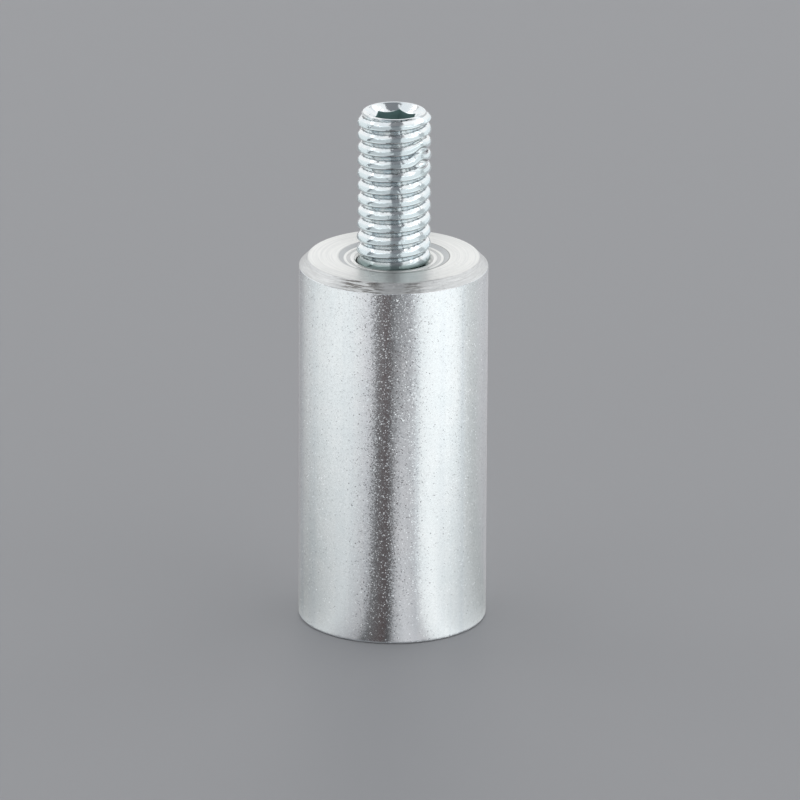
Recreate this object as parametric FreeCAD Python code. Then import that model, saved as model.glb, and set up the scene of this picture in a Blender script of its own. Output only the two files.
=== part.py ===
import FreeCAD, Part

import math
import os

# Deep pot magnet that stands on its magnetic face, with a threaded stud out of its back.
# Millimetres and degrees. The axis is +Z, and the magnetic face lies on z = 0.
# Azimuths count from +X towards +Y.

# Steel pot
POT_DIAMETER = 10.0
POT_HEIGHT = 20.0
POT_WALL = 1.44
BACK_CHAMFER = 0.5
RIM_BREAK = 0.05

# Inside the pot, from its wall inwards: glue, non-magnetic sleeve, glue, magnet
BOND_GAP = 0.03
SLEEVE_WALL = 1.0
MAGNET_CHAMFER = 0.15

# Threaded stud, a set screw with an M4 x 0.7 right-hand thread
THREAD_DIAMETER = 3.92
THREAD_PITCH = 0.7
THREAD_DEPTH = 0.39
THREAD_CREST_WIDTH = 0.14
THREAD_FLANK_ANGLE = 30.0
THREAD_AZIMUTH_AT_BACK = 342.0
STUD_REACH = 8.0
STUD_ENGAGEMENT = 4.0
STUD_TOP_CHAMFER = 0.33
STUD_POINT_CHAMFER = 0.66

# Hexagon socket in the stud's outer end, with a conical lead-in
SOCKET_ACROSS_FLATS = 2.0
SOCKET_DEPTH = 2.2
SOCKET_RIM_WIDTH = 0.13
SOCKET_LEAD_IN_SLOPE = 35.0
SOCKET_FLOOR_SLOPE = 30.0
SOCKET_CORNER_AZIMUTH = 76.5

# Blind hole in the back: tapped past the stud's point, drilled past the thread
SPARE_THREAD = 1.0
SPARE_DRILL = 1.5
DRILL_POINT_SLOPE = 31.0
WEB_THICKNESS = 1.5
BORE_CLEARANCE = 0.08
CREST_CLEARANCE = 0.05
FLANK_CLEARANCE = 0.03

# Shallow dish round the hole's mouth, as ring widths from the stud's crests outwards
MOUTH_MARGIN = 0.16
LIP_WIDTH = 0.18
LIP_GROOVE_WIDTH = 0.2
DISH_FLOOR_WIDTH = 0.14
DISH_WALL_RUN = 0.28
DISH_DEPTH = 0.12
LIP_GROOVE_DEPTH = 0.04

# How the helical faces are drawn, and how far cutting shapes run past what they cut
HELIX_STEPS_PER_TURN = 24
OVERCUT = 0.5

ORIGIN = FreeCAD.Vector(0, 0, 0)
AXIS = FreeCAD.Vector(0, 0, 1)


def fall(run, slope):
    """The height that a cone of this slope falls over a radial run."""
    return run * math.tan(math.radians(slope))


POT_RADIUS = POT_DIAMETER / 2
CAVITY_RADIUS = POT_RADIUS - POT_WALL
SLEEVE_RADIUS = CAVITY_RADIUS - BOND_GAP
SLEEVE_BORE_RADIUS = SLEEVE_RADIUS - SLEEVE_WALL
MAGNET_RADIUS = SLEEVE_BORE_RADIUS - BOND_GAP
THREAD_RADIUS = THREAD_DIAMETER / 2
ROOT_RADIUS = THREAD_RADIUS - THREAD_DEPTH
TAP_DRILL_RADIUS = ROOT_RADIUS + BORE_CLEARANCE
MOUTH_RADIUS = THREAD_RADIUS + MOUTH_MARGIN
DISH_FLOOR_Z = POT_HEIGHT - DISH_DEPTH
STUD_TOP = POT_HEIGHT + STUD_REACH
STUD_BOTTOM = POT_HEIGHT - STUD_ENGAGEMENT
THREAD_END = STUD_BOTTOM - SPARE_THREAD
DRILL_END = THREAD_END - SPARE_DRILL
DRILL_TIP = DRILL_END - fall(TAP_DRILL_RADIUS, DRILL_POINT_SLOPE)
CAVITY_DEPTH = DRILL_TIP - WEB_THICKNESS


def polygon(corners):
    """A closed outline through the corners."""
    return Part.makePolygon(corners + corners[:1])


def revolved(profile):
    """A solid of revolution about the axis from (radius, z) corners."""
    outline = polygon([FreeCAD.Vector(radius, 0, z) for radius, z in profile])
    return Part.Face(outline).revolve(ORIGIN, AXIS, 360)


def ridge_half_width(radius):
    """Half the axial width of the stud's thread ridge at a radius."""
    return THREAD_CREST_WIDTH / 2 + fall(THREAD_RADIUS - radius, THREAD_FLANK_ANGLE)


def helix_turn(radius, z):
    """One turn of the right-hand helix that starts at azimuth 0 and height z."""
    points = []
    for step in range(HELIX_STEPS_PER_TURN + 1):
        turned = step / HELIX_STEPS_PER_TURN
        azimuth = 2 * math.pi * turned
        points.append(FreeCAD.Vector(
            radius * math.cos(azimuth), radius * math.sin(azimuth), z + THREAD_PITCH * turned))
    curve = Part.BSplineCurve()
    curve.interpolate(points)
    return curve.toShape()


def raised(face, turns):
    """A copy of a face, up the axis by a number of turns of the thread."""
    copy = face.copy()
    copy.translate(FreeCAD.Vector(0, 0, THREAD_PITCH * turns))
    return copy


def thread_coil(root_radius, crest_radius, flank_clearance, low, high):
    """A threaded rod that runs past low and high, for its ends to be trimmed.

    Its ridge is the stud's ridge, widened on each flank by the clearance. One turn of
    helical strips is repeated up the axis. Each end is closed by a ramp from the axis to
    the first helix, and by the flat step that one turn of the ramp leaves.
    """
    crest = ridge_half_width(crest_radius) + flank_clearance
    foot = ridge_half_width(root_radius) + flank_clearance
    section = [
        (root_radius, -foot),
        (crest_radius, -crest),
        (crest_radius, crest),
        (root_radius, foot),
        (root_radius, THREAD_PITCH - foot),
    ]
    helices = [helix_turn(radius, z) for radius, z in section]
    strips = [Part.makeRuledSurface(below, above) for below, above in zip(helices, helices[1:])]
    on_axis = [FreeCAD.Vector(0, 0, -foot), FreeCAD.Vector(0, 0, THREAD_PITCH - foot)]
    corners = [FreeCAD.Vector(radius, 0, z) for radius, z in section]
    ramp = Part.makeRuledSurface(Part.makeLine(*on_axis), helices[0])
    step = Part.Face(polygon(on_axis[:1] + corners + on_axis[1:]))

    turns = math.ceil((high - low) / THREAD_PITCH) + 3
    faces = [ramp, step, raised(ramp, turns), raised(step, turns)]
    for turn in range(turns):
        faces += [raised(strip, turn) for strip in strips]
    skin = Part.makeCompound(faces)
    skin.sewShape()
    coil = Part.Solid(skin.Shells[0])

    start = low - 1.5 * THREAD_PITCH
    turns_to_back = (POT_HEIGHT - start) / THREAD_PITCH
    coil.rotate(ORIGIN, AXIS, THREAD_AZIMUTH_AT_BACK - 360 * turns_to_back)
    coil.translate(FreeCAD.Vector(0, 0, start))
    return coil


def pot_blank():
    """The turned pot with its blind cavity, before the back is drilled and tapped."""
    lip = MOUTH_RADIUS + LIP_WIDTH
    groove = lip + LIP_GROOVE_WIDTH
    dish_floor = groove + DISH_FLOOR_WIDTH
    dish_edge = dish_floor + DISH_WALL_RUN
    return revolved([
        (0, DISH_FLOOR_Z),
        (lip, DISH_FLOOR_Z),
        (lip, DISH_FLOOR_Z - LIP_GROOVE_DEPTH),
        (groove, DISH_FLOOR_Z - LIP_GROOVE_DEPTH),
        (groove, DISH_FLOOR_Z),
        (dish_floor, DISH_FLOOR_Z),
        (dish_edge, POT_HEIGHT),
        (POT_RADIUS - BACK_CHAMFER, POT_HEIGHT),
        (POT_RADIUS, POT_HEIGHT - BACK_CHAMFER),
        (POT_RADIUS, RIM_BREAK),
        (POT_RADIUS - RIM_BREAK, 0),
        (CAVITY_RADIUS, 0),
        (CAVITY_RADIUS, CAVITY_DEPTH),
        (0, CAVITY_DEPTH),
    ])


def tapped_stretch():
    """The space of the tapped hole: the stud's thread grown by the clearances."""
    crest_radius = THREAD_RADIUS + CREST_CLEARANCE
    coil = thread_coil(TAP_DRILL_RADIUS, crest_radius, FLANK_CLEARANCE, THREAD_END, POT_HEIGHT)
    reach = POT_HEIGHT + OVERCUT - THREAD_END
    return coil.common(Part.makeCylinder(POT_RADIUS, reach, FreeCAD.Vector(0, 0, THREAD_END), AXIS))


def drilled_end():
    """The plain end of the hole below its thread, with the drill's cone point."""
    return revolved([
        (0, THREAD_END),
        (TAP_DRILL_RADIUS, THREAD_END),
        (TAP_DRILL_RADIUS, DRILL_END),
        (0, DRILL_TIP),
    ])


def lead_in():
    """The 45 degree countersink at the mouth of the tapped hole."""
    return revolved([
        (0, DISH_FLOOR_Z + OVERCUT),
        (MOUTH_RADIUS, DISH_FLOOR_Z + OVERCUT),
        (MOUTH_RADIUS, DISH_FLOOR_Z),
        (0, DISH_FLOOR_Z - MOUTH_RADIUS),
    ])


def steel_pot():
    """The whole pot: turned blank, tapped, drilled and countersunk from the back."""
    return pot_blank().cut(tapped_stretch()).cut(drilled_end()).cut(lead_in())


def spacer_sleeve():
    """The non-magnetic tube between the magnet and the pot's wall."""
    return revolved([
        (SLEEVE_BORE_RADIUS, 0),
        (SLEEVE_RADIUS, 0),
        (SLEEVE_RADIUS, CAVITY_DEPTH),
        (SLEEVE_BORE_RADIUS, CAVITY_DEPTH),
    ])


def magnet_rod():
    """The magnet, flush with the rim, with a small chamfer on each end."""
    flat = MAGNET_RADIUS - MAGNET_CHAMFER
    return revolved([
        (0, 0),
        (flat, 0),
        (MAGNET_RADIUS, MAGNET_CHAMFER),
        (MAGNET_RADIUS, CAVITY_DEPTH - MAGNET_CHAMFER),
        (flat, CAVITY_DEPTH),
        (0, CAVITY_DEPTH),
    ])


def stud_envelope():
    """What the stud's ends are turned to: flat faces with 45 degree chamfers, wider than the thread."""
    rim = THREAD_RADIUS - STUD_TOP_CHAMFER
    point = THREAD_RADIUS - STUD_POINT_CHAMFER
    outside = THREAD_RADIUS + OVERCUT
    return revolved([
        (0, STUD_BOTTOM),
        (point, STUD_BOTTOM),
        (outside, STUD_BOTTOM + outside - point),
        (outside, STUD_TOP - (outside - rim)),
        (rim, STUD_TOP),
        (0, STUD_TOP),
    ])


def socket_lead_in():
    """The cone that leads into the socket, open upwards."""
    radius = THREAD_RADIUS - STUD_TOP_CHAMFER - SOCKET_RIM_WIDTH
    return revolved([
        (0, STUD_TOP + OVERCUT),
        (radius, STUD_TOP + OVERCUT),
        (radius, STUD_TOP),
        (0, STUD_TOP - fall(radius, SOCKET_LEAD_IN_SLOPE)),
    ])


def socket_hexagon():
    """The six-sided part of the socket, with the cone that the drill left under it."""
    floor = STUD_TOP - SOCKET_DEPTH
    corner_radius = SOCKET_ACROSS_FLATS / math.sqrt(3)
    corners = []
    for side in range(6):
        azimuth = math.radians(SOCKET_CORNER_AZIMUTH + 60 * side)
        x = corner_radius * math.cos(azimuth)
        y = corner_radius * math.sin(azimuth)
        corners.append(FreeCAD.Vector(x, y, floor))
    prism = Part.Face(polygon(corners)).extrude(FreeCAD.Vector(0, 0, SOCKET_DEPTH + OVERCUT))
    flat = SOCKET_ACROSS_FLATS / 2
    drill_point = revolved([
        (0, floor + OVERCUT),
        (flat, floor + OVERCUT),
        (flat, floor),
        (0, floor - fall(flat, SOCKET_FLOOR_SLOPE)),
    ])
    return prism.fuse(drill_point)


def threaded_stud():
    """The set screw, threaded over its whole length, with a hexagon socket in its outer end."""
    coil = thread_coil(ROOT_RADIUS, THREAD_RADIUS, 0, STUD_BOTTOM, STUD_TOP)
    return coil.common(stud_envelope()).cut(socket_lead_in()).cut(socket_hexagon())


def main():
    os.makedirs("parts", exist_ok=True)
    nodes = {
        "steel_pot": steel_pot,
        "spacer_sleeve": spacer_sleeve,
        "magnet_rod": magnet_rod,
        "threaded_stud": threaded_stud,
    }
    for name, build in nodes.items():
        shape = build()
        print(name, len(shape.Solids), "solid, valid:", shape.isValid(), "mm3:", round(shape.Volume, 3))
        shape.exportStep("parts/" + name + ".step")


main()
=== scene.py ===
import math

import bpy
import numpy as np
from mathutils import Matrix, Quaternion, Vector


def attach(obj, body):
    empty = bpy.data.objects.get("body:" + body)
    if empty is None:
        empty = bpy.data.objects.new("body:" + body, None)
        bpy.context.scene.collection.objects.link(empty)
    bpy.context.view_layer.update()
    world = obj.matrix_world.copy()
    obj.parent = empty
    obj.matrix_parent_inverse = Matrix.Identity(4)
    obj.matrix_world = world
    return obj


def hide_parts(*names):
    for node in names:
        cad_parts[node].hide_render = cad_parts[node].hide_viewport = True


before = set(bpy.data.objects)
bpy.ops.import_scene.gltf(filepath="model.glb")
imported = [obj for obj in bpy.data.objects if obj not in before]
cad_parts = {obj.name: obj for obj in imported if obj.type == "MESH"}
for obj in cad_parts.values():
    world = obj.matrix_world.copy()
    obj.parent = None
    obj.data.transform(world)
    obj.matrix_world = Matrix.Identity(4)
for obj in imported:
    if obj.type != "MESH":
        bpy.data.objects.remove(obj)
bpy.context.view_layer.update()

# Deep pot magnet with a threaded stud. Lengths are millimetres until a mesh is made, and the
# studio round the part is in metres. Azimuths count from +X towards +Y, as in the frame, and the
# camera stands at 270 degrees.
MM = 0.001

# Steel pot. The web is the steel between the drilled hole's tip and the cavity
POT_RADIUS = 5.0
POT_HEIGHT = 20.0
BACK_CHAMFER = 0.5
RIM_BREAK = 0.05
EDGE_ROUND = 0.07
CAVITY_RADIUS = 3.56
TAP_DRILL_RADIUS = 1.65
THREAD_END = 15.0
DRILL_END = 13.5
DRILL_TIP = 12.5086
WEB_THICKNESS = 1.5
CAVITY_DEPTH = DRILL_TIP - WEB_THICKNESS

# Dish round the mouth of the tapped hole. Its profile starts on the mouth's chamfer and ends on
# the flat back
DISH_DEPTH = 0.12
DISH_FLOOR = POT_HEIGHT - DISH_DEPTH
MOUTH_RADIUS = 2.12
PROFILE_START = 0.05
LIP_RADIUS = 2.3
LIP_GROOVE_RADIUS = 2.5
LIP_GROOVE_DEPTH = 0.04
LIP_GROOVE_RUN = 0.01
DISH_FLOOR_RADIUS = 2.64
DISH_RADIUS = 2.92
DISH_ROUND = 0.012
DISH_PROFILE_END = DISH_RADIUS + 0.3
BACK_PROFILE_START = DISH_RADIUS + 0.32

# Threaded stud. Each ridge has an arc, a shoulder and a flank above its lower edge
STUD_TOP = 28.0
STUD_BOTTOM = 16.0
THREAD_RADIUS = 1.96
ROOT_RADIUS = 1.57
THREAD_PITCH = 0.7
THREAD_AZIMUTH_AT_BACK = 342.0
FLANK_ANGLE = 30.0
CREST_HALF_WIDTH = 0.07
CREST_ARC = 0.42
CREST_ARC_END = 40.0
CREST_LOWER_ROUND = 0.06
SHOULDER_LENGTH = 0.17
ROOT_ROUND = 0.03

# Thread of the pot's hole: room round the stud's, and the rounding of its corners
FLANK_CLEARANCE = 0.03
CREST_CLEARANCE = 0.05
HOLE_THREAD_ROUND = 0.07

# Ends of the stud, and the hexagon socket with the cone that leads into it
STUD_RIM_RADIUS = 1.63
STUD_POINT_RADIUS = 1.3
STUD_END_ROUND = 0.05
RIM_RUN = 0.02
RIM_ROUND = 0.025
SOCKET_FLAT = 1.0
SOCKET_DEPTH = 2.2
SOCKET_LEAD_IN_RADIUS = 1.5
SOCKET_LEAD_IN_SLOPE = 35.0
SOCKET_FLOOR_SLOPE = 30.0
SOCKET_CORNER_AZIMUTH = 76.5
LEAD_IN_START = SOCKET_LEAD_IN_RADIUS - 0.1
LEAD_IN_SHARES = (0.35, 0.7, 0.95)
WALL_SHARES = (0.08, 0.5, 0.97)
WALL_EDGE_RUN = 0.004
WALL_EDGE_DROP = 0.02
SOCKET_FLOOR_ROUND = 0.01

# Knock in the thread, at (azimuth, height) places on the stud. Fills and pits have a spread in
# degrees and millimetres, then a radius or a depth. Marks have a radius, and then a size
KNOCK_AZIMUTH = 319.0
KNOCK_SPREAD = 14.0
KNOCK_PUSH = 0.24
KNOCK_START = (24.8, 25.6)
KNOCK_END = (26.5, 27.1)
KNOCK_FILLS = [
    ((327.0, 26.15), (23.0, 0.2), 1.93),
    ((324.0, 25.36), (22.0, 0.2), 1.94),
    ((340.0, 26.02), (10.0, 0.12), 1.9),
]
KNOCK_PITS = [
    ((338.0, 26.01), (3.0, 0.05), 0.05),
    ((307.0, 25.33), (2.5, 0.035), 0.02),
    ((346.0, 24.78), (8.0, 0.06), 0.05),
]
KNOCK_MARKS = [
    ((338.0, 26.01, 1.87), 0.11),
    ((307.0, 25.33, 1.8), 0.06),
    ((346.0, 24.78, 1.92), 0.09),
]

# Mesh density: azimuths per turn, and heights per turn of the thread
AZIMUTHS = 180
SEEN_ROWS_PER_PITCH = 32
HIDDEN_ROWS_PER_PITCH = 16
SEEN_FROM = POT_HEIGHT - 0.5
SHARP_ANGLE = 32.0

# Camera, placed where the photo was taken from. Its clipping distances are metres
CAMERA_POSITION = (0.0, -438.924, 164.902)
CAMERA_AIM = (0.3693, 0.0, 11.944)
CAMERA_ROLL = 0.2727
CAMERA_LENS = 394.44
CAMERA_CLIP = (0.01, 10.0)
SENSOR_WIDTH = 36.0

# Colours of the finishes, and of the painted shade and painted reflections on them
BARREL_LIGHT = (0.89, 0.915, 0.925)
BARREL_DARK = (0.84, 0.88, 0.895)
BARREL_PITS = (0.76, 0.79, 0.8)
BARREL_BANDS = (0.7, 0.75, 0.79)
BACK_LIGHT = (0.88, 0.885, 0.86)
BACK_DARK = (0.79, 0.8, 0.785)
# Painted grey reflection on the dish wall
DISH_WALL_PAINTED_REFLECTION = (0.48, 0.5, 0.51)
# Painted shade in a line just outside the dish's edge
DISH_EDGE_PAINTED_SHADE = (0.25, 0.26, 0.25)
# Painted shade in the groove beside the lip
LIP_GROOVE_PAINTED_SHADE = (0.55, 0.56, 0.56)
CHAMFER_GREY = (0.6, 0.615, 0.62)
CHAMFER_LINES = (0.2, 0.19, 0.18)
THREAD_LIGHT = (0.87, 0.9, 0.9)
THREAD_DARK = (0.78, 0.84, 0.86)
# Painted blue reflection on the thread's crests
CREST_PAINTED_REFLECTION = (0.69, 0.78, 0.8)
# Painted shade under the crests and along the ridges' feet
THREAD_PAINTED_SHADE = (0.2, 0.21, 0.22)
# Painted shade on the thread in the mouth of the hole
THREAD_FOOT_PAINTED_SHADE = (0.14, 0.2, 0.19)
KNOCK_BLACK = (0.06, 0.06, 0.06)
# Painted shadow in the hexagon socket
SOCKET_PAINTED_SHADOW = (0.2, 0.32, 0.31)
BRASS_LIGHT = (0.83, 0.62, 0.31)
BRASS_DARK = (0.74, 0.53, 0.25)
NICKEL_LIGHT = (0.72, 0.69, 0.64)
NICKEL_DARK = (0.62, 0.6, 0.56)

# How rare the plating's strongly leaning crystals are: a power of a random share
FLAKE_RARITY = 7.0

# Floor and backdrop, in metres and in degrees from the camera, and the world's light
FLOOR_HALF = 1.2
FLOOR_PALE = (0.32, 0.324, 0.336)
BACKDROP_RADIUS = 0.9
BACKDROP_HEIGHT = 0.7
BACKDROP_START = 100.0
BACKDROP_SWEEP = 160.0
BACKDROP_COLUMNS = 48
BACKDROP_PALE = (0.4, 0.405, 0.42)
UNEVEN_SHADE = 0.97
WORLD_TINT = (0.9, 0.93, 1.0)
WORLD_LEVEL = 0.25

# Upright lamps: azimuths from the camera, elevations, and the level that a mirror would show
LAMP_DISTANCE = 0.45
UPRIGHT_LAMPS = [
    ("left_panel", (-82.0, -14.0), (0.0, 50.0), 0.45),
    ("left_rear", (-140.0, -93.0), (0.0, 50.0), 0.8),
    ("front_panel", (-14.0, 20.0), (0.0, 50.0), 0.08),
    ("right_panel", (20.0, 84.0), (0.0, 50.0), 0.75),
    ("right_side", (84.0, 108.0), (0.0, 50.0), 0.42),
    ("right_rear", (108.0, 140.0), (0.0, 50.0), 0.85),
    ("rear_panel", (140.0, 220.0), (0.0, 42.0), 0.85),
]

# Lamps overhead: ends in x and in y, in metres, and the level
ROOF_HEIGHT = 0.6
ROOF_LAMPS = [
    ("roof_left", (-0.75, -0.13), (-0.45, 0.6), 0.72),
    ("roof_right", (0.19, 0.75), (-0.45, 0.6), 0.8),
]

# Ring on the floor that stands for what the metal shows of the floor. It starts just outside the
# pot, and lets rays through that are shorter than its clear length
GLOW_INNER = 5.02
GLOW_OUTER = 600.0
GLOW_HEIGHT = 0.02
GLOW_COLUMNS = 72
GLOW_CLEAR_LENGTH = 0.25

# Its levels. Each stop is an azimuth from the camera, the levels at the three distances from the
# axis in GLOW_RADII, and a tint
COOL = (0.97, 0.995, 1.0)
PLAIN = (1.0, 0.99, 1.02)
RED = (1.1, 0.85, 0.85)
GLOW_RADII = (6.0, 44.0, 58.0)
GLOW_STOPS = [
    (-180.0, 0.4, 0.5, 0.5, PLAIN),
    (-150.0, 0.36, 0.38, 0.38, PLAIN),
    (-105.0, 0.36, 0.76, 0.82, COOL),
    (-75.0, 0.5, 0.94, 0.99, COOL),
    (-50.0, 0.68, 0.88, 1.0, COOL),
    (-30.0, 0.46, 0.66, 0.76, PLAIN),
    (-24.0, 0.34, 0.56, 0.64, PLAIN),
    (-20.0, 0.12, 0.15, 0.22, PLAIN),
    (-7.0, 0.08, 0.1, 0.13, RED),
    (-2.5, 0.1, 0.12, 0.12, PLAIN),
    (2.0, 0.48, 0.46, 0.18, PLAIN),
    (10.0, 0.66, 0.66, 0.24, PLAIN),
    (22.0, 0.54, 0.54, 0.46, PLAIN),
    (30.0, 0.9, 0.92, 0.9, COOL),
    (40.0, 1.0, 1.06, 1.08, COOL),
    (54.0, 0.8, 1.14, 1.16, COOL),
    (66.0, 0.7, 1.18, 1.18, COOL),
    (84.0, 0.56, 1.0, 1.04, COOL),
    (100.0, 0.46, 0.66, 0.74, COOL),
    (112.0, 0.44, 0.58, 0.66, COOL),
    (130.0, 0.46, 0.58, 0.62, PLAIN),
    (180.0, 0.4, 0.5, 0.5, PLAIN),
]

# The azimuths of every row of points, from a corner of the hexagon on
AZIMUTH = np.radians(SOCKET_CORNER_AZIMUTH + 360.0 * np.arange(AZIMUTHS) / AZIMUTHS)


def rise(run, slope):
    """The height of a cone of this slope over a radial run."""
    return run * math.tan(math.radians(slope))


def smooth_min(a, b, width):
    """The smaller of two surfaces, blended where they come within width of each other."""
    blend = np.clip(0.5 + 0.5 * (b - a) / width, 0.0, 1.0)
    return b + (a - b) * blend - width * blend * (1.0 - blend)


def smooth_max(a, b, width):
    """The larger of two surfaces, blended where they come within width of each other."""
    return -smooth_min(-a, -b, width)


def ring(radius, height):
    """One row of points round the axis. Radius and height may vary with azimuth."""
    radius = radius + 0.0 * AZIMUTH
    height = height + 0.0 * AZIMUTH
    return np.stack([radius * np.cos(AZIMUTH), radius * np.sin(AZIMUTH), height], axis=1)


def tip(height):
    """A row of one point on the axis, which closes a mesh."""
    return np.array([[0.0, 0.0, height]])


def rounded(corners, rounding, steps):
    """The (radius, z) corners with each inner corner turned into a curve of this radius."""
    points = [corners[0]]
    for before, corner, after in zip(corners, corners[1:], corners[2:]):
        before, corner, after = (np.array(point) for point in (before, corner, after))
        back = (before - corner) / np.linalg.norm(before - corner)
        ahead = (after - corner) / np.linalg.norm(after - corner)
        half = math.acos(np.clip(back @ ahead, -1.0, 1.0)) / 2
        reach = rounding / math.tan(half)
        start, end = corner + back * reach, corner + ahead * reach
        for step in range(steps + 1):
            share = step / steps
            bend = (1 - share) ** 2 * start + 2 * share * (1 - share) * corner + share ** 2 * end
            points.append(tuple(bend))
    points.append(corners[-1])
    return points


def new_object(name, data):
    """An object in the scene with this mesh, lamp or camera."""
    made = bpy.data.objects.new(name, data)
    bpy.context.scene.collection.objects.link(made)
    return made


def new_mesh(name, points, faces, materials):
    """A mesh of these points, in metres, and faces."""
    mesh = bpy.data.meshes.new(name)
    mesh.from_pydata(points, [], faces)
    for material in materials:
        mesh.materials.append(material)
    return mesh


def band(low, high, first, second):
    """The faces between two rows, whose points start at first and at second."""
    faces = []
    for here in range(AZIMUTHS):
        there = (here + 1) % AZIMUTHS
        if len(low) == 1:
            faces.append((first, second + there, second + here))
        elif len(high) == 1:
            faces.append((first + here, first + there, second))
        else:
            faces.append((first + here, first + there, second + there, second + here))
    return faces


def lathe(name, rows, materials, pick):
    """A closed object through rows of points, each of which goes once round the axis.

    pick(height, radius) gives the number of the material for the band above each row.
    """
    starts = np.cumsum([0] + [len(row) for row in rows])
    faces, slots = [], []
    for low, high, first, second in zip(rows, rows[1:], starts, starts[1:]):
        made = band(low, high, int(first), int(second))
        height = (low.mean(axis=0)[2] + high.mean(axis=0)[2]) / 2
        radius = (np.hypot(low[:, 0], low[:, 1]).mean() + np.hypot(high[:, 0], high[:, 1]).mean()) / 2
        faces += made
        slots += [pick(height, radius)] * len(made)
    mesh = new_mesh(name, (np.concatenate(rows) * MM).tolist(), faces, materials)
    mesh.polygons.foreach_set("material_index", slots)
    mesh.polygons.foreach_set("use_smooth", [True] * len(faces))
    mesh.set_sharp_from_angle(angle=math.radians(SHARP_ANGLE))
    mesh.update()
    return new_object(name, mesh)


def above_ridge(height):
    """Axial distance above the middle of the nearest thread ridge, at every azimuth."""
    turns = (height - POT_HEIGHT) / THREAD_PITCH
    turns = turns - (np.degrees(AZIMUTH) - THREAD_AZIMUTH_AT_BACK) / 360.0
    return (turns - np.round(turns)) * THREAD_PITCH


def stud_radius(above):
    """Radius of the stud's thread at an axial distance above its ridge's middle.

    The upper side of the ridge is an arc, a sloping shoulder and then the flank. The lower edge is
    crisp.
    """
    flank_slope = math.tan(math.radians(FLANK_ANGLE))
    up = np.maximum(above + CREST_HALF_WIDTH, 0.0)
    arc_end = CREST_ARC * math.sin(math.radians(CREST_ARC_END))
    arc = CREST_ARC - np.sqrt(CREST_ARC ** 2 - np.minimum(up, arc_end) ** 2)
    shoulder = rise(np.clip(up - arc_end, 0.0, SHOULDER_LENGTH), CREST_ARC_END)
    flank = np.maximum(up - arc_end - SHOULDER_LENGTH, 0.0) / flank_slope
    upper = THREAD_RADIUS - arc - shoulder - flank
    lower = THREAD_RADIUS + (above + CREST_HALF_WIDTH) / flank_slope
    lower = np.where(above > 0.0, THREAD_RADIUS + 1.0, lower)
    return smooth_max(smooth_min(upper, lower, CREST_LOWER_ROUND), ROOT_RADIUS, ROOT_ROUND)


def turned_from(azimuth):
    """Degrees round the axis from an azimuth, at every azimuth."""
    return (np.degrees(AZIMUTH) - azimuth + 180.0) % 360.0 - 180.0


def spot(height, centre, spread):
    """A soft spot on the stud: 1 at its (azimuth, height), fading over its (degrees, mm)."""
    across = turned_from(centre[0]) / spread[0]
    along = (height - centre[1]) / spread[1]
    return np.exp(-across ** 2 - along ** 2)


def damaged(height):
    """The stud's thread at a height, with the knock at the front right of the photo.

    Two grooves are pushed up, metal is smeared into them, and a few small pits are left.
    """
    reach = np.interp(height, KNOCK_START + KNOCK_END, (0.0, 1.0, 1.0, 0.0))
    pushed = KNOCK_PUSH * np.exp(-(turned_from(KNOCK_AZIMUTH) / KNOCK_SPREAD) ** 2) * reach
    radius = stud_radius(above_ridge(height - pushed))
    for centre, spread, level in KNOCK_FILLS:
        radius = radius + (level - radius) * spot(height, centre, spread)
    for centre, spread, depth in KNOCK_PITS:
        radius = radius - depth * spot(height, centre, spread)
    return radius


def heights(low, high, rows_per_pitch):
    """Even heights between two ends, both left out."""
    count = math.ceil((high - low) / THREAD_PITCH * rows_per_pitch)
    return np.linspace(low, high, count + 1)[1:-1]


def stud_thread_rows():
    """Rows up the thread, cut off by the chamfers of the stud's point and rim."""
    hidden = heights(STUD_BOTTOM, SEEN_FROM, HIDDEN_ROWS_PER_PITCH)
    seen = heights(SEEN_FROM, STUD_TOP, SEEN_ROWS_PER_PITCH)
    rows = []
    for level in np.concatenate([hidden, seen]):
        chamfer = min(STUD_POINT_RADIUS + level - STUD_BOTTOM, STUD_RIM_RADIUS + STUD_TOP - level)
        rows.append(ring(smooth_min(damaged(level), chamfer, STUD_END_ROUND), level))
    return rows


def lead_in_height(radius):
    """Height of the socket's lead-in cone at a radius."""
    return STUD_TOP - rise(SOCKET_LEAD_IN_RADIUS - radius, SOCKET_LEAD_IN_SLOPE)


def stud_rim_rows():
    """Rows over the stud's rim, from its chamfer into the lead-in cone."""
    profile = rounded([
        (STUD_RIM_RADIUS + RIM_RUN, STUD_TOP - RIM_RUN),
        (STUD_RIM_RADIUS - RIM_RUN, STUD_TOP),
        (SOCKET_LEAD_IN_RADIUS, STUD_TOP),
        (LEAD_IN_START, lead_in_height(LEAD_IN_START)),
    ], RIM_ROUND, steps=3)
    return [ring(radius, height) for radius, height in profile]


def hexagon_radius():
    """Radius of the hexagon socket's wall at every azimuth."""
    turned = (np.degrees(AZIMUTH) - SOCKET_CORNER_AZIMUTH) % 60.0 - 30.0
    return SOCKET_FLAT / np.cos(np.radians(turned))


def socket_rows():
    """Rows down the lead-in cone and the hexagon's wall, to the tip of the socket's floor."""
    wall = hexagon_radius()
    edge = lead_in_height(wall)
    floor = STUD_TOP - SOCKET_DEPTH
    cone = [LEAD_IN_START + (wall - LEAD_IN_START) * share for share in LEAD_IN_SHARES]
    rows = [ring(radius, lead_in_height(radius)) for radius in cone]
    rows.append(ring(wall - WALL_EDGE_RUN, edge - WALL_EDGE_DROP))
    rows += [ring(wall, edge + (floor - edge) * share) for share in WALL_SHARES]
    rows.append(ring(wall - SOCKET_FLOOR_ROUND, floor))
    rows.append(ring(SOCKET_FLAT - SOCKET_FLOOR_ROUND, floor))
    rows.append(tip(floor - rise(SOCKET_FLAT, SOCKET_FLOOR_SLOPE)))
    return rows


def stud_rows():
    """Rows of the stud from its point up the thread, over the rim and down the socket."""
    point = [tip(STUD_BOTTOM), ring(STUD_POINT_RADIUS, STUD_BOTTOM)]
    return point + stud_thread_rows() + stud_rim_rows() + socket_rows()


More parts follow.
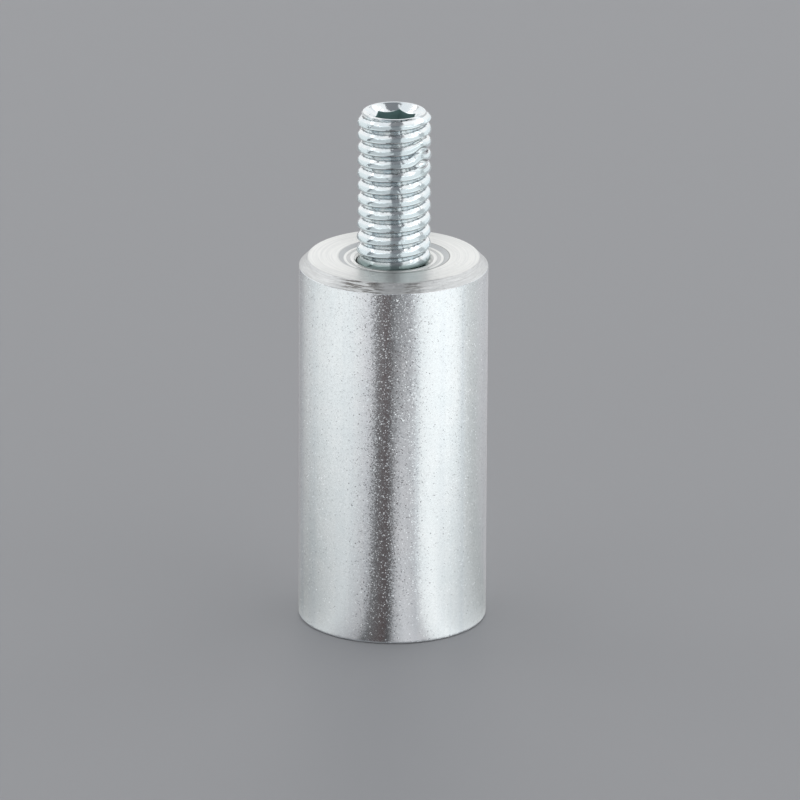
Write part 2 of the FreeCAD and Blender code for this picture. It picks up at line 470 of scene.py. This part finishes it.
def hole_thread_radius(height):
    """Radius of the pot's thread at a height, with its clearance round the stud."""
    crest_radius = THREAD_RADIUS + CREST_CLEARANCE
    half_width = CREST_HALF_WIDTH + FLANK_CLEARANCE - rise(CREST_CLEARANCE, FLANK_ANGLE)
    away = np.abs(above_ridge(height))
    flank = crest_radius - (away - half_width) / math.tan(math.radians(FLANK_ANGLE))
    groove = smooth_min(flank, crest_radius, HOLE_THREAD_ROUND)
    return smooth_max(groove, TAP_DRILL_RADIUS, HOLE_THREAD_ROUND)


def tapped_hole_rows():
    """Rows up the hole, from the drill's tip along the thread to the chamfered mouth."""
    rows = [tip(DRILL_TIP), ring(TAP_DRILL_RADIUS, DRILL_END), ring(TAP_DRILL_RADIUS, THREAD_END)]
    for level in heights(THREAD_END, DISH_FLOOR, HIDDEN_ROWS_PER_PITCH):
        mouth = MOUTH_RADIUS - (DISH_FLOOR - level)
        rows.append(ring(np.maximum(hole_thread_radius(level), mouth), level))
    return rows


def dish_profile():
    """From the hole's mouth over its lip, the groove beside it and the dish's wall to the back."""
    groove_floor = DISH_FLOOR - LIP_GROOVE_DEPTH
    return rounded([
        (MOUTH_RADIUS - PROFILE_START, DISH_FLOOR - PROFILE_START),
        (MOUTH_RADIUS, DISH_FLOOR),
        (LIP_RADIUS, DISH_FLOOR),
        (LIP_RADIUS + LIP_GROOVE_RUN, groove_floor),
        (LIP_GROOVE_RADIUS - LIP_GROOVE_RUN, groove_floor),
        (LIP_GROOVE_RADIUS, DISH_FLOOR),
        (DISH_FLOOR_RADIUS, DISH_FLOOR),
        (DISH_RADIUS, POT_HEIGHT),
        (DISH_PROFILE_END, POT_HEIGHT),
    ], DISH_ROUND, steps=2)


def barrel_profile():
    """From the back over its chamfer, down the barrel, round the lower edge and up the cavity."""
    profile = rounded([
        (BACK_PROFILE_START, POT_HEIGHT),
        (POT_RADIUS - BACK_CHAMFER, POT_HEIGHT),
        (POT_RADIUS, POT_HEIGHT - BACK_CHAMFER),
        (POT_RADIUS, POT_HEIGHT / 2),
    ], EDGE_ROUND, steps=6)
    profile += [(POT_RADIUS, RIM_BREAK), (POT_RADIUS - RIM_BREAK, 0.0)]
    profile += [(CAVITY_RADIUS, 0.0), (CAVITY_RADIUS, CAVITY_DEPTH)]
    return profile


def pot_rows():
    """Rows of the pot from the tip of its drilled hole, over the back and into its cavity."""
    profile = dish_profile() + barrel_profile()
    outside = [ring(radius, height) for radius, height in profile]
    return tapped_hole_rows() + outside + [tip(CAVITY_DEPTH)]


class Graph:
    """A node material under construction. Its values and vectors are outputs of nodes."""

    def __init__(self, name):
        self.material = bpy.data.materials.new(name)
        self.material.use_nodes = True
        self.tree = self.material.node_tree
        self.tree.nodes.clear()

    def feed(self, socket, value):
        """Gives an input a value, or another node's output to link."""
        if isinstance(value, bpy.types.NodeSocket):
            self.tree.links.new(value, socket)
        else:
            socket.default_value = value

    def node(self, kind, inputs, **settings):
        """Adds a node with these inputs."""
        made = self.tree.nodes.new("ShaderNode" + kind)
        for key, value in settings.items():
            setattr(made, key, value)
        for key, value in inputs.items():
            self.feed(made.inputs[key], value)
        return made

    def math(self, operation, first, second):
        """A sum, a product, a power or another operation on two values."""
        return self.node("Math", {0: first, 1: second}, operation=operation).outputs[0]

    def product(self, first, *others):
        """Values multiplied by each other."""
        for other in others:
            first = self.math("MULTIPLY", first, other)
        return first

    def vector(self, operation, first, second):
        """An operation on two vectors, part by part."""
        return self.node("VectorMath", {0: first, 1: second}, operation=operation).outputs[0]

    def sized(self, vector, size):
        """A vector times a value."""
        return self.node("VectorMath", {0: vector, "Scale": size}, operation="SCALE").outputs[0]

    def unit(self, vector):
        """A vector of length 1 in the same direction."""
        return self.node("VectorMath", {0: vector}, operation="NORMALIZE").outputs[0]

    def part(self, vector, axis):
        """The X, Y or Z of a vector."""
        return self.node("SeparateXYZ", {0: vector}).outputs[axis]

    def position(self):
        """The point in the frame, in metres."""
        return self.node("TexCoord", {}).outputs["Object"]

    def own_normal(self):
        """The surface's normal before any bump."""
        return self.node("NewGeometry", {}).outputs["Normal"]

    def level(self):
        """Height above the magnetic face, in millimetres."""
        return self.product(self.part(self.position(), "Z"), 1.0 / MM)

    def radius(self):
        """Distance from the axis, in millimetres."""
        flat = self.vector("MULTIPLY", self.position(), (1.0 / MM, 1.0 / MM, 0.0))
        return self.node("VectorMath", {0: flat}, operation="LENGTH").outputs["Value"]

    def nearness(self, azimuth, height, radius, size):
        """1 at a point of the part and 0 from size away on, in millimetres and degrees."""
        turn = math.radians(azimuth)
        point = (radius * math.cos(turn) * MM, radius * math.sin(turn) * MM, height * MM)
        inputs = {0: self.position(), 1: point}
        away = self.node("VectorMath", inputs, operation="DISTANCE").outputs["Value"]
        return self.spread(away, 0.5 * size * MM, size * MM, 1.0, 0.0)

    def noise(self, vector, scale=1.0, detail=2.0, roughness=0.5):
        """Soft noise from 0 to 1. A higher scale has more waves in each unit of the vector."""
        inputs = {"Vector": vector, "Scale": scale, "Detail": detail, "Roughness": roughness}
        return self.node("TexNoise", inputs).outputs["Fac"]

    def spread(self, value, low, high, to_low=0.0, to_high=1.0):
        """Maps a value from one range to another, and clamps it."""
        inputs = {"Value": value, "From Min": low, "From Max": high, "To Min": to_low, "To Max": to_high}
        return self.node("MapRange", inputs).outputs["Result"]

    def window(self, value, low, high, soft):
        """1 between low and high, and 0 outside, with soft ends."""
        rises = self.spread(value, low - soft, low)
        falls = self.spread(value, high, high + soft, 1.0, 0.0)
        return self.product(rises, falls)

    def mixed(self, share, first, second):
        """Two colours mixed by a share."""
        made = self.node("Mix", {0: share}, data_type="RGBA")
        for key, value in ((6, first), (7, second)):
            self.feed(made.inputs[key], (*value, 1.0) if isinstance(value, tuple) else value)
        return made.outputs[2]

    def ramp(self, value, stops):
        """A colour that changes with a value from 0 to 1, through (value, colour) stops."""
        made = self.node("ValToRGB", {"Fac": value})
        elements = made.color_ramp.elements
        elements[1].position, elements[1].color = stops[-1][0], (*stops[-1][1], 1.0)
        elements[0].position, elements[0].color = stops[0][0], (*stops[0][1], 1.0)
        for position, colour in stops[1:-1]:
            elements.new(position).color = (*colour, 1.0)
        return made.outputs["Color"]

    def bump(self, height, distance, normal=None):
        """The normal of a surface raised by up to distance, in metres."""
        inputs = {"Height": height, "Distance": distance}
        if normal is not None:
            inputs["Normal"] = normal
        return self.node("Bump", inputs).outputs["Normal"]

    def turning(self, amount):
        """Inputs for highlights stretched along the circles of turning, by an amount."""
        tangent = self.node("Tangent", {}, direction_type="RADIAL", axis="Z").outputs[0]
        return {"Anisotropic": amount, "Anisotropic Rotation": 0.25, "Tangent": tangent}

    def finish(self, inputs):
        """Ends the graph with a principled surface, and returns the material."""
        shader = self.node("BsdfPrincipled", inputs)
        self.node("OutputMaterial", {"Surface": shader.outputs[0]})
        return self.material


def flakes(graph, cell, tilt, strong):
    """A normal that leans a little differently in each crystal, and strongly in a few."""
    inputs = {"Vector": graph.position(), "Scale": 1.0 / (cell * MM)}
    cells = graph.node("TexVoronoi", inputs).outputs["Color"]
    centred = graph.vector("SUBTRACT", cells, (0.5, 0.5, 0.5))
    chance = graph.node("TexWhiteNoise", {"Vector": cells}, noise_dimensions="3D").outputs["Value"]
    rare = graph.product(graph.math("POWER", chance, FLAKE_RARITY), strong)
    lean = graph.sized(centred, graph.math("ADD", rare, tilt))
    return graph.unit(graph.vector("ADD", graph.own_normal(), lean))


def zinc_barrel():
    """Bright zinc on a turned cylinder: crystals, fine pits and faint streaks along the axis."""
    graph = Graph("zinc_barrel")
    place = graph.position()
    cloud = graph.noise(place, scale=700.0)
    grain = graph.noise(place, scale=9000.0, detail=3.0, roughness=0.6)
    along = graph.vector("MULTIPLY", place, (1000.0, 1000.0, 14.0))
    bands = graph.noise(along, detail=3.0, roughness=0.6)
    along = graph.vector("MULTIPLY", place, (2600.0, 2600.0, 90.0))
    streaks = graph.noise(along, detail=3.0, roughness=0.6)

    colour = graph.mixed(graph.spread(cloud, 0.35, 0.7), BARREL_LIGHT, BARREL_DARK)
    colour = graph.mixed(graph.spread(grain, 0.35, 0.7, 0.0, 0.45), colour, BARREL_PITS)
    colour = graph.mixed(graph.spread(bands, 0.45, 0.7, 0.0, 0.5), colour, BARREL_BANDS)
    normal = graph.bump(grain, 0.0012 * MM, flakes(graph, cell=0.05, tilt=0.045, strong=0.8))
    return graph.finish({
        "Base Color": colour,
        "Metallic": 1.0,
        "Roughness": graph.spread(grain, 0.35, 0.7, 0.17, 0.24),
        "Normal": graph.bump(streaks, 0.003 * MM, normal),
        **graph.turning(0.8),
    })


def turned_noise(graph, rings_per_mm, breaks, detail):
    """Noise that follows the tool's circles: quick across them and slow along them."""
    place = graph.position()
    flat = graph.vector("MULTIPLY", place, (1.0, 1.0, 0.0))
    radius = graph.node("VectorMath", {0: flat}, operation="LENGTH").outputs["Value"]
    slow = graph.sized(graph.unit(flat), breaks)
    quick = graph.vector("MULTIPLY", place, (0.0, 0.0, rings_per_mm / MM))
    inputs = {
        "Vector": graph.vector("ADD", slow, quick),
        "W": graph.product(radius, rings_per_mm / MM),
        "Scale": 1.0,
        "Detail": detail,
        "Roughness": 0.6,
    }
    return graph.node("TexNoise", inputs, noise_dimensions="4D").outputs["Fac"]


def on_chamfer(graph):
    """1 on the chamfer of the back, and 0 elsewhere on the back."""
    edge = POT_RADIUS - BACK_CHAMFER
    outside = graph.spread(graph.radius(), edge - 0.1, edge - 0.05)
    below = graph.spread(graph.level(), POT_HEIGHT - 0.01, POT_HEIGHT - 0.035)
    return graph.product(outside, below)


def chamfer_lines(graph, marks, chamfer):
    """Dark tool lines on the chamfer, strong at two places on the side of the photo."""
    across = graph.part(graph.position(), "X")
    left = graph.window(across, -2.4 * MM, -0.9 * MM, 0.5 * MM)
    right = graph.window(across, 0.75 * MM, 1.3 * MM, 0.3 * MM)
    place = graph.math("MAXIMUM", left, graph.product(right, 0.7))
    strength = graph.spread(place, 0.0, 1.0, 0.15, 0.95)
    return graph.product(graph.spread(marks, 0.47, 0.53), chamfer, strength)


def dish_painted_light(graph, colour):
    """The back's colour with painted light: a grey painted reflection on the dish wall, a dark painted
    shade line just outside it that is fainter towards the left, and painted shade in the lip groove.
    """
    radius = graph.radius()
    # Painted grey reflection on the dish wall
    wall = graph.window(radius, DISH_FLOOR_RADIUS + 0.02, DISH_RADIUS - 0.02, 0.03)
    # Painted shade in a line just outside the dish, fainter towards the left
    edge = graph.window(radius, DISH_RADIUS + 0.01, DISH_RADIUS + 0.045, 0.02)
    edge_shade_strength = graph.spread(graph.part(graph.position(), "X"), -1.6 * MM, 0.0, 0.25, 0.9)
    # Painted shade in the lip groove
    groove = graph.window(radius, LIP_RADIUS + 0.02, LIP_GROOVE_RADIUS - 0.02, 0.03)
    colour = graph.mixed(graph.product(wall, 0.9), colour, DISH_WALL_PAINTED_REFLECTION)
    colour = graph.mixed(graph.product(edge, edge_shade_strength), colour, DISH_EDGE_PAINTED_SHADE)
    return graph.mixed(graph.product(groove, 0.7), colour, LIP_GROOVE_PAINTED_SHADE)


def zinc_turned():
    """Bright zinc on the turned back: fine circles, painted shade and a painted reflection on the dish,
    and coarser chamfer marks.
    """
    graph = Graph("zinc_turned")
    fine = turned_noise(graph, rings_per_mm=10.0, breaks=1.2, detail=4.0)
    coarse = turned_noise(graph, rings_per_mm=17.0, breaks=5.0, detail=4.0)
    grain = graph.noise(graph.position(), scale=12000.0)
    chamfer = on_chamfer(graph)

    colour = dish_painted_light(graph, graph.mixed(graph.spread(fine, 0.38, 0.62), BACK_LIGHT, BACK_DARK))
    colour = graph.mixed(graph.product(chamfer, 0.7), colour, CHAMFER_GREY)
    colour = graph.mixed(chamfer_lines(graph, coarse, chamfer), colour, CHAMFER_LINES)
    normal = graph.bump(fine, 0.002 * MM, flakes(graph, cell=0.08, tilt=0.03, strong=0.35))
    normal = graph.bump(graph.product(coarse, chamfer), 0.03 * MM, normal)
    return graph.finish({
        "Base Color": colour,
        "Metallic": 1.0,
        "Roughness": graph.spread(fine, 0.3, 0.7, 0.33, 0.43),
        "Normal": graph.bump(grain, 0.001 * MM, normal),
        **graph.turning(0.6),
    })


def groove_painted_shade(graph, radius, facing_up):
    """Painted shade: 1 under each crest's edge and 0.7 along each ridge's foot."""
    below_crest = graph.spread(radius, THREAD_RADIUS - 0.14, THREAD_RADIUS - 0.09)
    under = graph.product(graph.spread(facing_up, -0.5, -0.2, 1.0, 0.0), below_crest)
    by_root = graph.window(radius, ROOT_RADIUS + 0.09, ROOT_RADIUS + 0.13, 0.03)
    foot = graph.product(graph.spread(facing_up, 0.3, 0.5), by_root)
    return graph.math("MAXIMUM", under, graph.product(foot, 0.7))


def socket_shadow_mask(graph, radius, facing_up):
    """Where the socket's painted shadow goes: 1 on the walls and the floor of the hexagon, and 0 on its
    lead-in cone.
    """
    wall = graph.spread(facing_up, 0.5, 0.65, 1.0, 0.0)
    deep = graph.spread(graph.level(), STUD_TOP - 1.2, STUD_TOP - 1.0, 1.0, 0.0)
    within = graph.spread(radius, SOCKET_FLAT + 0.165, SOCKET_FLAT + 0.2, 1.0, 0.0)
    return graph.product(graph.math("MAXIMUM", wall, deep), within)


def zinc_thread():
    """Bright zinc on the rolled thread, smoother than on the pot, with painted shade in its grooves, at
    its foot and in its socket, and a painted blue reflection on its crests.
    """
    graph = Graph("zinc_thread")
    place, radius = graph.position(), graph.radius()
    facing_up = graph.part(graph.own_normal(), "Z")
    grain = graph.noise(place, scale=6000.0, detail=3.0, roughness=0.6)
    cloud = graph.noise(place, scale=1400.0)
    # Painted blue reflection on the crests, where they face sideways and up
    by_crest = graph.spread(radius, THREAD_RADIUS - 0.12, THREAD_RADIUS - 0.06)
    crest = graph.product(by_crest, graph.spread(facing_up, -0.2, 0.0))
    # Painted shade under the crests and along the ridges' feet
    lines = graph.product(groove_painted_shade(graph, radius, facing_up), 0.75)
    # Painted shade on the thread in the hole's mouth, fading out 0.22 mm above the back
    sunk_shade = graph.spread(graph.level(), POT_HEIGHT - 0.03, POT_HEIGHT + 0.22, 0.85, 0.0)
    inside = socket_shadow_mask(graph, radius, facing_up)

    colour = graph.mixed(graph.spread(cloud, 0.35, 0.65), THREAD_LIGHT, THREAD_DARK)
    colour = graph.mixed(crest, colour, CREST_PAINTED_REFLECTION)
    colour = graph.mixed(lines, colour, THREAD_PAINTED_SHADE)
    colour = graph.mixed(sunk_shade, colour, THREAD_FOOT_PAINTED_SHADE)
    for point, size in KNOCK_MARKS:
        colour = graph.mixed(graph.nearness(*point, size), colour, KNOCK_BLACK)
    return graph.finish({
        # Painted shadow in the hexagon socket: dark teal, and mostly not metallic
        "Base Color": graph.mixed(inside, colour, SOCKET_PAINTED_SHADOW),
        "Metallic": graph.spread(inside, 0.0, 1.0, 1.0, 0.15),
        "Roughness": graph.spread(grain, 0.3, 0.7, 0.11, 0.18),
        "Normal": graph.bump(grain, 0.0015 * MM, flakes(graph, cell=0.12, tilt=0.03, strong=0.25)),
    })


def sleeve_brass():
    """Turned brass, faced flush with the rim."""
    graph = Graph("sleeve_brass")
    marks = turned_noise(graph, rings_per_mm=10.0, breaks=1.2, detail=2.0)
    return graph.finish({
        "Base Color": graph.mixed(graph.spread(marks, 0.35, 0.65), BRASS_LIGHT, BRASS_DARK),
        "Metallic": 1.0,
        "Roughness": graph.spread(marks, 0.3, 0.7, 0.24, 0.36),
        "Normal": graph.bump(marks, 0.008 * MM),
    })


def magnet_nickel():
    """Nickel on a ground magnet face: straight, very fine grinding marks."""
    graph = Graph("magnet_nickel")
    along = graph.vector("MULTIPLY", graph.position(), (9000.0, 500.0, 500.0))
    marks = graph.noise(along, detail=3.0, roughness=0.6)
    return graph.finish({
        "Base Color": graph.mixed(graph.spread(marks, 0.3, 0.7), NICKEL_LIGHT, NICKEL_DARK),
        "Metallic": 1.0,
        "Roughness": graph.spread(marks, 0.3, 0.7, 0.22, 0.34),
        "Normal": graph.bump(marks, 0.003 * MM),
    })


def pot_finish(height, radius):
    """0 on the barrel, and 1 on the chamfer, the back and inside."""
    below_chamfer = height < POT_HEIGHT - BACK_CHAMFER + 0.01
    return 0 if below_chamfer and radius > POT_RADIUS - 0.02 else 1


def add_pot():
    """The pot with finer facets and rounded edges, in the place of the CAD pot."""
    pot = lathe("pot_shell", pot_rows(), [zinc_barrel(), zinc_turned()], pot_finish)
    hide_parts("steel_pot")
    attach(pot, "root")


def add_stud():
    """The stud with rounded crests, in the place of the CAD stud."""
    stud = lathe("stud_thread", stud_rows(), [zinc_thread()], lambda height, radius: 0)
    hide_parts("threaded_stud")
    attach(stud, "root")


def dress_frame():
    """The finishes of the CAD nodes that stay as they are."""
    for node, finish in (("spacer_sleeve", sleeve_brass()), ("magnet_rod", magnet_nickel())):
        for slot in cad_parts[node].material_slots:
            slot.material = finish


def plain_material(name, colour, roughness):
    """A matt studio surface with a very faint unevenness."""
    graph = Graph(name)
    uneven = graph.noise(graph.position(), scale=6.0)
    darker = tuple(UNEVEN_SHADE * part for part in colour)
    return graph.finish({
        "Base Color": graph.mixed(uneven, colour, darker),
        "Roughness": roughness,
    })


def heading(azimuth_from_camera):
    """A level direction from the part. Azimuth 0 is the camera's side and 90 its right."""
    turn = math.radians(azimuth_from_camera)
    return Vector((math.sin(turn), -math.cos(turn), 0.0))


def add_floor():
    """A plain pale floor."""
    half = FLOOR_HALF
    corners = [(-half, -half, 0.0), (half, -half, 0.0), (half, half, 0.0), (-half, half, 0.0)]
    pale = plain_material("floor_pale", FLOOR_PALE, roughness=0.5)
    new_object("floor", new_mesh("floor", corners, [(0, 1, 2, 3)], [pale]))


def add_backdrop():
    """A pale wall behind the part, open on the camera's side."""
    points, faces = [], []
    for column in range(BACKDROP_COLUMNS + 1):
        foot = heading(BACKDROP_START + BACKDROP_SWEEP * column / BACKDROP_COLUMNS) * BACKDROP_RADIUS
        points += [foot, foot + Vector((0.0, 0.0, BACKDROP_HEIGHT))]
    for first in range(0, 2 * BACKDROP_COLUMNS, 2):
        faces.append((first, first + 2, first + 3, first + 1))
    pale = plain_material("backdrop_pale", BACKDROP_PALE, roughness=0.8)
    new_object("backdrop", new_mesh("backdrop", points, faces, [pale]))


def add_world():
    """A dim, even studio around the lamps."""
    world = bpy.data.worlds.new("studio")
    world.use_nodes = True
    inputs = world.node_tree.nodes["Background"].inputs
    inputs["Color"].default_value = (*WORLD_TINT, 1.0)
    inputs["Strength"].default_value = WORLD_LEVEL
    bpy.context.scene.world = world


def facing(location, target):
    """The rotation that turns a lamp or camera at location to target."""
    return (Vector(target) - Vector(location)).to_track_quat("-Z", "Y")


def rotate(made, rotation):
    """Turns an object by a quaternion."""
    made.rotation_mode = "QUATERNION"
    made.rotation_quaternion = rotation


def panel(name, middle, rotation, width, height, radiance):
    """A soft rectangular lamp. Its radiance is about what a mirror shows."""
    lamp = bpy.data.lights.new(name, "AREA")
    lamp.shape = "RECTANGLE"
    lamp.size = width
    lamp.size_y = height
    lamp.energy = radiance * math.pi * width * height
    made = new_object(name, lamp)
    made.location = middle
    made.visible_camera = False
    rotate(made, rotation)


def upright_panel(name, azimuths, elevations, radiance):
    """An upright lamp that fills a range of azimuths and of elevations, in degrees."""
    low, high = (LAMP_DISTANCE * math.tan(math.radians(angle)) for angle in elevations)
    half = math.radians(azimuths[1] - azimuths[0]) / 2
    middle = heading(sum(azimuths) / 2) * LAMP_DISTANCE + Vector((0.0, 0.0, (low + high) / 2))
    rotation = facing(middle, (0.0, 0.0, middle.z))
    panel(name, middle, rotation, 2 * LAMP_DISTANCE * math.tan(half), high - low, radiance)


def roof_panel(name, across, along, radiance):
    """A level lamp overhead. A lamp that isn't turned shines straight down."""
    middle = Vector((sum(across) / 2, sum(along) / 2, ROOF_HEIGHT))
    panel(name, middle, Quaternion(), across[1] - across[0], along[1] - along[0], radiance)


def add_lamps():
    """Panels to the left, the right, behind and above, with a gap along the camera's axis."""
    for name, azimuths, elevations, radiance in UPRIGHT_LAMPS:
        upright_panel(name, azimuths, elevations, radiance)
    for name, across, along, radiance in ROOF_LAMPS:
        roof_panel(name, across, along, radiance)


def glow_stops(distance):
    """The (share of a turn, colour) stops of the glow at one of its three distances."""
    return [
        (0.5 + azimuth / 360.0, tuple(levels[distance] * part for part in tint))
        for azimuth, *levels, tint in GLOW_STOPS
    ]


def glow_material():
    """Light that comes off the floor at each azimuth, clear for the floor that it lies on."""
    graph = Graph("floor_glow")
    parts = graph.node("SeparateXYZ", {0: graph.position()}).outputs
    turn = graph.math("ARCTAN2", parts["X"], graph.product(parts["Y"], -1.0))
    share = graph.spread(turn, -math.pi, math.pi)
    near, middle, far = (graph.ramp(share, glow_stops(distance)) for distance in range(3))
    radius = graph.radius()
    colour = graph.mixed(graph.spread(radius, GLOW_RADII[0], GLOW_RADII[1]), near, middle)
    colour = graph.mixed(graph.spread(radius, GLOW_RADII[1], GLOW_RADII[2]), colour, far)
    glow = graph.node("Emission", {"Color": colour, "Strength": 1.0}).outputs[0]
    clear = graph.node("BsdfTransparent", {}).outputs[0]
    length = graph.node("LightPath", {}).outputs["Ray Length"]
    distant = graph.math("GREATER_THAN", length, GLOW_CLEAR_LENGTH * MM)
    surface = graph.node("MixShader", {0: distant, 1: clear, 2: glow}).outputs[0]
    graph.node("OutputMaterial", {"Surface": surface})
    return graph.material


def add_glow():
    """A flat ring on the floor round the part, that only the metal's reflections show."""
    lift = Vector((0.0, 0.0, GLOW_HEIGHT * MM))
    points, faces = [], []
    for column in range(GLOW_COLUMNS):
        way = heading(360.0 * column / GLOW_COLUMNS)
        points += [way * (GLOW_INNER * MM) + lift, way * (GLOW_OUTER * MM) + lift]
        first, second = 2 * column, 2 * ((column + 1) % GLOW_COLUMNS)
        faces.append((first, second, second + 1, first + 1))
    made = new_object("floor_glow", new_mesh("floor_glow", points, faces, [glow_material()]))
    made.visible_camera = False
    made.visible_diffuse = False
    made.visible_shadow = False


def add_camera():
    """The camera of the photo, aimed so that the frame needs no shift."""
    data = bpy.data.cameras.new("camera")
    data.sensor_width = SENSOR_WIDTH
    data.lens = CAMERA_LENS
    data.clip_start, data.clip_end = CAMERA_CLIP
    made = new_object("camera", data)
    made.location = Vector(CAMERA_POSITION) * MM
    roll = Quaternion((0.0, 0.0, 1.0), math.radians(CAMERA_ROLL))
    rotate(made, facing(made.location, Vector(CAMERA_AIM) * MM) @ roll)
    bpy.context.scene.camera = made


bpy.context.scene.view_settings.view_transform = "Standard"
add_pot()
add_stud()
dress_frame()
add_floor()
add_backdrop()
add_world()
add_lamps()
add_glow()
add_camera()
